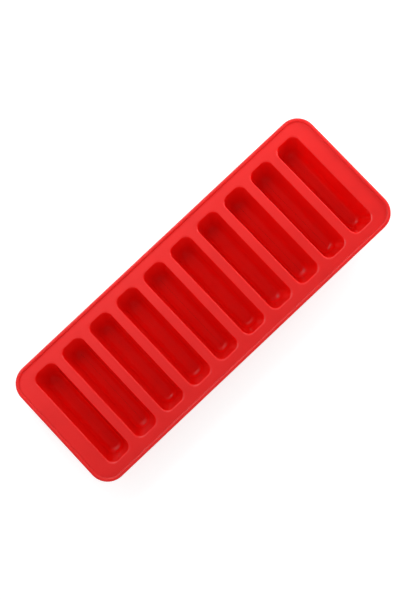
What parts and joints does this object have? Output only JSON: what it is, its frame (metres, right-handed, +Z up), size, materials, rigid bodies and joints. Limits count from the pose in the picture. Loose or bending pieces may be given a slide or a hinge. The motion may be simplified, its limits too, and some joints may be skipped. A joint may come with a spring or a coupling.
{
  "type": "ice pop mould tray",
  "caption": "Shallow one-piece silicone tray: a row of narrow, round-bottomed wells in thin-walled cups hangs below a flat flange with a raised rim, to freeze or bake stick shapes.",
  "frame": {"origin": "middle of the plane that the cups stand on", "axes": "+X along the row of wells, +Y along each well, +Z up, out of the wells"},
  "size_m": [0.285, 0.104, 0.0234],
  "materials": {
    "silicone": "satin, slightly translucent red silicone"
  },
  "bodies": {
    "root": {"stick_mold": "silicone"}
  },
  "joints": []
}
